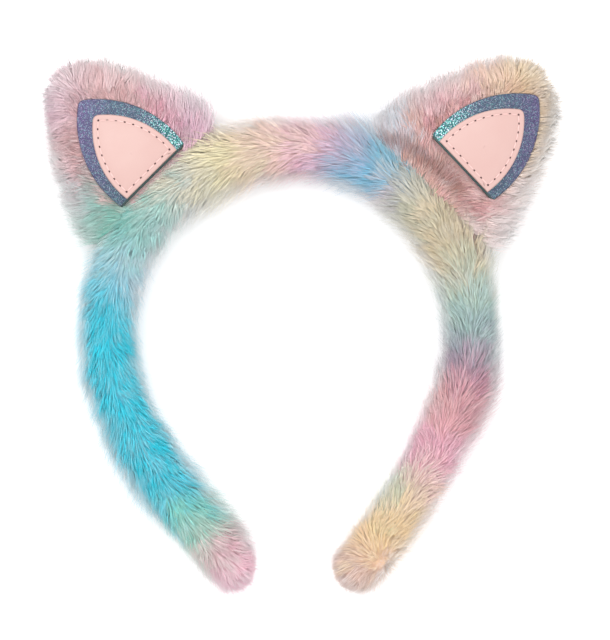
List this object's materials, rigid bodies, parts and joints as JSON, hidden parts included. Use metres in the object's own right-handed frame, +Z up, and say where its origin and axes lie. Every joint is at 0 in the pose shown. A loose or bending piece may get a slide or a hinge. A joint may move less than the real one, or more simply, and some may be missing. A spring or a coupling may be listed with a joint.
{
  "type": "cat ears headband",
  "caption": "Plush covered horseshoe headband with two stuffed plush cat ears, each with a glitter vinyl panel and a stitched faux leather panel on its front.",
  "frame": {"origin": "on the surface it lies on, under the middle of the whole headband's outline", "axes": "+Z up, out of the front of the ears; +Y from the open ends to the ears; +X to the ear that is on the right seen from the front"},
  "size_m": [0.1954, 0.2048, 0.0248],
  "materials": {
    "band_fur": "deep plush pile, tie-dyed in pastel turquoise, mint, yellow, pink, mauve and peach",
    "ear_fur": "deep plush pile, tie-dyed in pastel pink, peach, cream and mint",
    "glitter_vinyl": "holographic glitter vinyl, from violet at the tip through slate blue to turquoise by the band",
    "pink_leather": "smooth satin faux leather in pale pink, with a row of pink hand-size stitches along its edge"
  },
  "bodies": {
    "root": {"fur_band": "band_fur", "fur_ear_right": "ear_fur", "fur_ear_left": "ear_fur", "glitter_panel_right": "glitter_vinyl", "glitter_panel_left": "glitter_vinyl", "pink_panel_right": "pink_leather", "pink_panel_left": "pink_leather"}
  },
  "joints": []
}
